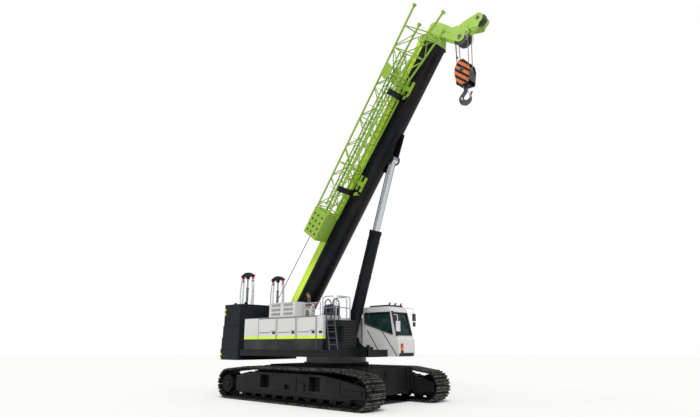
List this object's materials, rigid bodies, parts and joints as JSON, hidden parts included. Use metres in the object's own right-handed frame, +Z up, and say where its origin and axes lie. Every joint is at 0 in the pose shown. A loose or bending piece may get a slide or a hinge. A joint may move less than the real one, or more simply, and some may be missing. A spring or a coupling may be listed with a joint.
{
  "type": "telescopic-boom crawler crane",
  "caption": "Crawler crane with a telescoping box boom raised by a hydraulic cylinder, a lattice jib stowed beside it, a hook block and a slewing upper with cab, engine house and ballast.",
  "frame": {"origin": "middle of the whole crane's footprint box, on the ground", "axes": "+X to the front, +Y to the left, +Z up"},
  "size_m": [11.5644, 4.32, 13.1102],
  "materials": {
    "grey_paint": "gloss light grey",
    "green_paint": "gloss green",
    "house_paint": "satin dark grey",
    "ballast_paint": "satin dark blue grey",
    "boom_paint": "gloss black",
    "frame_paint": "matt black",
    "shoe_steel": "worn cast steel",
    "chrome": "polished",
    "hook_paint": "matt orange",
    "forged_steel": "dull steel",
    "wire_rope": "greased wire",
    "tinted_glass": "tinted",
    "seat_cloth": "woven cloth"
  },
  "bodies": {
    "undercarriage": {"carbody": "frame_paint", "slew_ring": "forged_steel", "track_right": "shoe_steel", "sprocket_right": "frame_paint", "idler_right": "frame_paint", "track_frame_right": "frame_paint", "track_left": "shoe_steel", "sprocket_left": "frame_paint", "idler_left": "frame_paint", "track_frame_left": "frame_paint"},
    "upperstructure": {"deck_frame": "house_paint", "boom_foot_bracket": "house_paint", "house_right": "grey_paint", "house_left": "grey_paint", "counterweight_slab_1": "ballast_paint", "counterweight_slab_2": "ballast_paint", "counterweight_slab_3": "ballast_paint", "counterweight_slab_4": "ballast_paint", "ballast_lift_barrel_right": "house_paint", "ballast_lift_barrel_left": "house_paint", "louvre_box": "grey_paint", "exhaust_silencer": "forged_steel", "hydraulic_valve_block": "house_paint", "engine_block": "frame_paint", "front_cabinet": "house_paint", "ladder_and_guard_rails": "forged_steel", "roof_hand_rail": "forged_steel", "cab_shell": "grey_paint", "windscreen": "tinted_glass", "cab_glass_right": "tinted_glass", "cab_glass_rear": "tinted_glass", "cab_roof_hatch": "house_paint", "operator_seat": "seat_cloth", "control_console": "house_paint"},
    "boom": {"boom_base": "boom_paint", "lattice_jib": "green_paint"},
    "section_2": {"boom_section_2": "green_paint"},
    "section_3": {"boom_section_3": "green_paint"},
    "section_4": {"boom_section_4": "green_paint"},
    "boom_tip": {"boom_section_5": "green_paint", "boom_head": "green_paint"},
    "head_sheave_set": {"head_sheaves": "forged_steel"},
    "single_line_wheel": {"single_line_sheave": "forged_steel"},
    "luff_rod": {"luff_cylinder_rod": "chrome"},
    "luff_barrel": {"luff_cylinder_barrel": "boom_paint"},
    "block_frame": {"hook_block": "hook_paint", "hoist_rope_right": "wire_rope", "hoist_rope_left": "wire_rope"},
    "block_sheave_set": {"hook_block_sheaves": "forged_steel"},
    "load_hook": {"hook": "forged_steel"},
    "main_drum": {"main_winch_drum": "forged_steel"},
    "auxiliary_drum": {"auxiliary_winch_drum": "forged_steel"},
    "right_door_1": {"house_right_door_1": "grey_paint"},
    "right_door_2": {"house_right_door_2": "grey_paint"},
    "right_door_3": {"house_right_door_3": "grey_paint"},
    "left_door_1": {"house_left_door_1": "grey_paint"},
    "operator_door": {"cab_door": "grey_paint", "cab_door_glass": "tinted_glass"},
    "lift_bar_right": {"ballast_lift_bar_right": "forged_steel"},
    "lift_bar_left": {"ballast_lift_bar_left": "forged_steel"}
  },
  "joints": [
    {"name": "slew", "type": "hinge", "parent": "undercarriage", "child": "upperstructure", "pos_m": [-0.8123, 0, 1.36], "axis": [0, 0, 1], "continuous": true},
    {"name": "boom_luff", "type": "hinge", "parent": "upperstructure", "child": "boom", "pos_m": [-2.9623, 0, 2.7], "axis": [0, -1, 0], "range_deg": [-54, 26]},
    {"name": "rod_eye", "type": "hinge", "parent": "boom", "child": "luff_rod", "pos_m": [1.86721, 0, 8.16995], "axis": [0, -1, 0], "range_deg": [-18, 9]},
    {"name": "rod_stroke", "type": "slide", "parent": "luff_rod", "child": "luff_barrel", "axis": [-0.3127, 0, -0.9498], "range_m": [-2.1, 1.3]},
    {"name": "telescope_2", "type": "slide", "parent": "boom", "child": "section_2", "axis": [0.5878, 0, 0.809], "range_m": [0, 9.4]},
    {"name": "telescope_3", "type": "slide", "parent": "section_2", "child": "section_3", "axis": [0.5878, 0, 0.809], "range_m": [0, 9.4]},
    {"name": "telescope_4", "type": "slide", "parent": "section_3", "child": "section_4", "axis": [0.5878, 0, 0.809], "range_m": [0, 9.4]},
    {"name": "telescope_5", "type": "slide", "parent": "section_4", "child": "boom_tip", "axis": [0.5878, 0, 0.809], "range_m": [0, 9.4]},
    {"name": "head_sheave_spin", "type": "hinge", "parent": "boom_tip", "child": "head_sheave_set", "pos_m": [4.89433, 0, 11.67631], "axis": [0, 1, 0], "continuous": true},
    {"name": "single_line_sheave_spin", "type": "hinge", "parent": "boom_tip", "child": "single_line_wheel", "pos_m": [5.5823, 0, 12.0788], "axis": [0, 1, 0], "continuous": true},
    {"name": "hook_plumb", "type": "hinge", "parent": "boom_tip", "child": "block_frame", "pos_m": [4.89433, 0, 11.67631], "axis": [0, -1, 0], "range_deg": [-26, 54]},
    {"name": "block_sheave_spin", "type": "hinge", "parent": "block_frame", "child": "block_sheave_set", "pos_m": [4.89433, 0, 10.47631], "axis": [0, 1, 0], "continuous": true},
    {"name": "hook_swivel", "type": "hinge", "parent": "block_frame", "child": "load_hook", "pos_m": [4.89433, 0, 10.47631], "axis": [0, 0, 1], "continuous": true},
    {"name": "main_drum_spin", "type": "hinge", "parent": "upperstructure", "child": "main_drum", "pos_m": [-3.9423, 0, 2.93], "axis": [0, 1, 0], "continuous": true},
    {"name": "auxiliary_drum_spin", "type": "hinge", "parent": "upperstructure", "child": "auxiliary_drum", "pos_m": [-3.9423, 0, 2.17], "axis": [0, 1, 0], "continuous": true},
    {"name": "right_door_1_swing", "type": "hinge", "parent": "upperstructure", "child": "right_door_1", "pos_m": [-3.3573, -1.5, 2.2], "axis": [0, 0, -1], "range_deg": [0, 110]},
    {"name": "right_door_2_swing", "type": "hinge", "parent": "upperstructure", "child": "right_door_2", "pos_m": [-2.3073, -1.5, 2.2], "axis": [0, 0, -1], "range_deg": [0, 110]},
    {"name": "right_door_3_swing", "type": "hinge", "parent": "upperstructure", "child": "right_door_3", "pos_m": [-1.2773, -1.5, 2.2], "axis": [0, 0, -1], "range_deg": [0, 110]},
    {"name": "left_door_1_swing", "type": "hinge", "parent": "upperstructure", "child": "left_door_1", "pos_m": [-3.3573, 1.5, 2.2], "axis": [0, 0, 1], "range_deg": [0, 110]},
    {"name": "cab_door_swing", "type": "hinge", "parent": "upperstructure", "child": "operator_door", "pos_m": [0.1527, 1.47, 2.2], "axis": [0, 0, 1], "range_deg": [0, 100]},
    {"name": "ballast_lift_right", "type": "slide", "parent": "upperstructure", "child": "lift_bar_right", "axis": [0, 0, 1], "range_m": [-0.3, 0.25]},
    {"name": "ballast_lift_left", "type": "slide", "parent": "upperstructure", "child": "lift_bar_left", "axis": [0, 0, 1], "range_m": [-0.3, 0.25]}
  ],
  "couplings": [
    {"joint": "rod_eye", "follows": "boom_luff", "ratio": 0.318},
    {"joint": "rod_stroke", "follows": "boom_luff", "m_per_rad": 2.185},
    {"joint": "hook_plumb", "follows": "boom_luff", "ratio": -1},
    {"joint": "telescope_3", "follows": "telescope_2", "ratio": 1},
    {"joint": "telescope_4", "follows": "telescope_2", "ratio": 1},
    {"joint": "telescope_5", "follows": "telescope_2", "ratio": 1}
  ]
}
